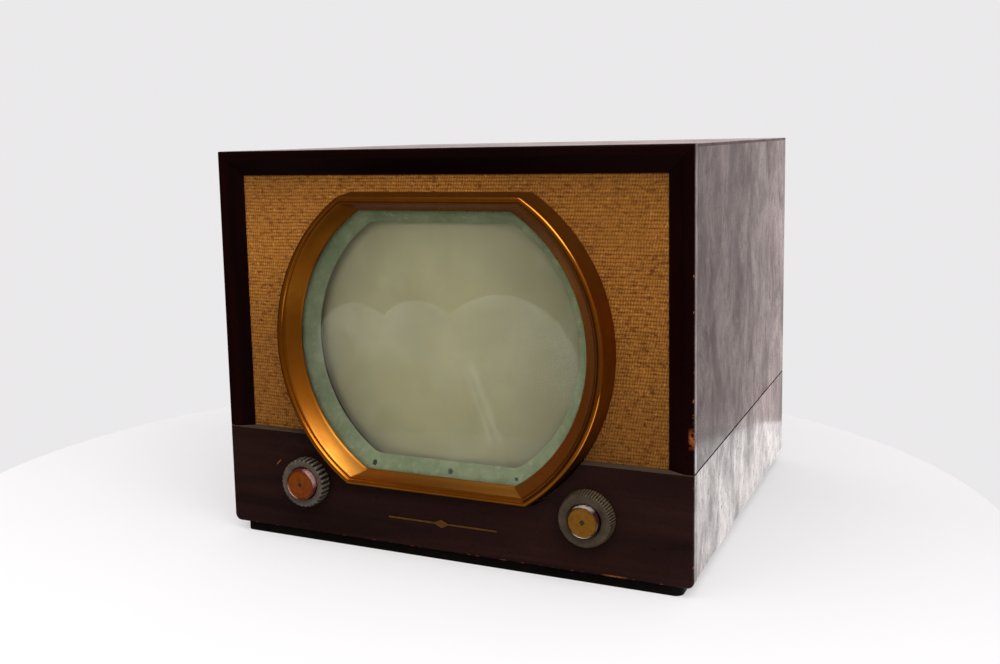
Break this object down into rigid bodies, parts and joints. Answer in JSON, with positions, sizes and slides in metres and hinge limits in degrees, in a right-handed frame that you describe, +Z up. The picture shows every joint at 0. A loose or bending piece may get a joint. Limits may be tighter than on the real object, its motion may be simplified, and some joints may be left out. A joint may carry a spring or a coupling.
{
  "type": "table-top television",
  "caption": "Wooden table-top television with a round flat-sided brass screen surround, concentric front knobs and a removable fibreboard back.",
  "frame": {"origin": "on the floor under the middle of the cabinet's plan, front face at y = -0.230 m", "axes": "+X to the viewer's right, +Y from the screen to the rear, +Z up"},
  "size_m": [0.5, 0.516, 0.405],
  "materials": {
    "mahogany": "dark lacquered veneer, worn",
    "black_paint": "black painted wood",
    "raw_wood": "unfinished softwood",
    "baffle": "plywood",
    "cloth": "golden brown ribbed weave",
    "bezel": "lacquered copper-gold, satin",
    "safety_glass": "flat clear plate",
    "mask_green": "pale green paint, weathered",
    "trim": "dull gold",
    "knob_ring": "grey-brown moulding",
    "knob_maroon": "dark red moulding",
    "cap_copper": "spun copper-orange disc",
    "cap_gold": "spun gold disc",
    "shaft_steel": "plated steel",
    "pot_metal": "plated cans",
    "tuner_metal": "plated sheet",
    "drum": "laminated coil strips",
    "tube_glass": "phosphor and dark coating inside glass",
    "bakelite": "dark phenolic moulding",
    "rubber": "aged black rubber",
    "flex": "brown rubber flex",
    "leads": "insulated leads",
    "chassis_steel": "cadmium-plated sheet",
    "yoke": "varnished former",
    "coil": "black painted can",
    "magnet": "painted spring clip and magnets",
    "valve_glass": "valve glass with dark getter",
    "can": "dull drawn aluminium",
    "iron": "black painted iron and bells",
    "basket": "dark painted pressing",
    "cone": "black paper",
    "hardboard": "brown pressed fibreboard",
    "fixings": "plated steel"
  },
  "bodies": {
    "cabinet": {"frame_left_stile": "mahogany", "frame_right_stile": "mahogany", "frame_top_rail": "mahogany", "upper_side_left": "mahogany", "upper_side_right": "mahogany", "top_panel": "mahogany", "lower_side_left": "mahogany", "lower_side_right": "mahogany", "control_panel": "mahogany", "plinth": "black_paint", "bottom_board": "raw_wood", "rear_battens": "raw_wood", "tube_cradle": "raw_wood", "baffle_board": "baffle", "grille_cloth": "cloth", "bezel": "bezel", "safety_glass": "safety_glass", "screen_mask": "mask_green", "trim_strip": "trim", "control_potentiometers": "pot_metal", "tuner_housing": "tuner_metal", "picture_tube": "tube_glass", "picture_tube_base": "bakelite", "picture_tube_socket": "bakelite", "moulded_sockets": "bakelite", "antenna_terminals": "bakelite", "tube_cushion": "rubber", "mains_cord": "flex", "wiring": "leads", "chassis": "chassis_steel", "neck_bracket": "chassis_steel", "tube_strap": "chassis_steel", "high_voltage_cage": "chassis_steel", "deflection_yoke": "yoke", "focus_coil": "coil", "vacuum_tubes": "valve_glass", "aluminium_cans": "can", "iron_core_transformers": "iron", "line_output_transformer": "iron", "speaker_magnet": "iron", "speaker_basket": "basket", "speaker_cone": "cone", "rear_cover": "hardboard", "rear_cup": "hardboard", "fixing_screws": "fixings"},
    "contrast_control": {"contrast_knob": "knob_ring", "contrast_shaft": "shaft_steel"},
    "volume_control": {"volume_knob": "knob_maroon", "volume_knob_cap": "cap_copper", "volume_shaft": "shaft_steel"},
    "channel_selector": {"channel_knob": "knob_ring", "channel_shaft": "shaft_steel", "tuner_drum": "drum"},
    "fine_tuning_control": {"fine_tuning_knob": "knob_maroon", "fine_tuning_knob_cap": "cap_gold", "fine_tuning_shaft": "shaft_steel"},
    "brightness_control": {"brightness_shaft": "shaft_steel"},
    "vertical_hold_control": {"vertical_hold_shaft": "shaft_steel"},
    "horizontal_hold_control": {"horizontal_hold_shaft": "shaft_steel"},
    "ion_trap": {"ion_trap_magnet": "magnet"}
  },
  "joints": [
    {"name": "contrast_turn", "type": "hinge", "parent": "cabinet", "child": "contrast_control", "pos_m": [-0.152, -0.235, 0.0655], "axis": [0, 1, 0], "range_deg": [0, 300]},
    {"name": "volume_turn", "type": "hinge", "parent": "cabinet", "child": "volume_control", "pos_m": [-0.152, -0.245, 0.0655], "axis": [0, 1, 0], "range_deg": [0, 300]},
    {"name": "channel_turn", "type": "hinge", "parent": "cabinet", "child": "channel_selector", "pos_m": [0.152, -0.235, 0.0655], "axis": [0, 1, 0], "continuous": true},
    {"name": "fine_tuning_turn", "type": "hinge", "parent": "cabinet", "child": "fine_tuning_control", "pos_m": [0.152, -0.245, 0.0655], "axis": [0, 1, 0], "range_deg": [-135, 135]},
    {"name": "brightness_turn", "type": "hinge", "parent": "cabinet", "child": "brightness_control", "pos_m": [0.06, 0.222, 0.036], "axis": [0, -1, 0], "range_deg": [-150, 150]},
    {"name": "vertical_hold_turn", "type": "hinge", "parent": "cabinet", "child": "vertical_hold_control", "pos_m": [0.01, 0.222, 0.036], "axis": [0, -1, 0], "range_deg": [-150, 150]},
    {"name": "horizontal_hold_turn", "type": "hinge", "parent": "cabinet", "child": "horizontal_hold_control", "pos_m": [-0.04, 0.222, 0.036], "axis": [0, -1, 0], "range_deg": [-150, 150]},
    {"name": "ion_trap_turn", "type": "hinge", "parent": "cabinet", "child": "ion_trap", "pos_m": [0, 0.1835, 0.2163], "axis": [0, 1, 0], "range_deg": [-30, 30]}
  ]
}
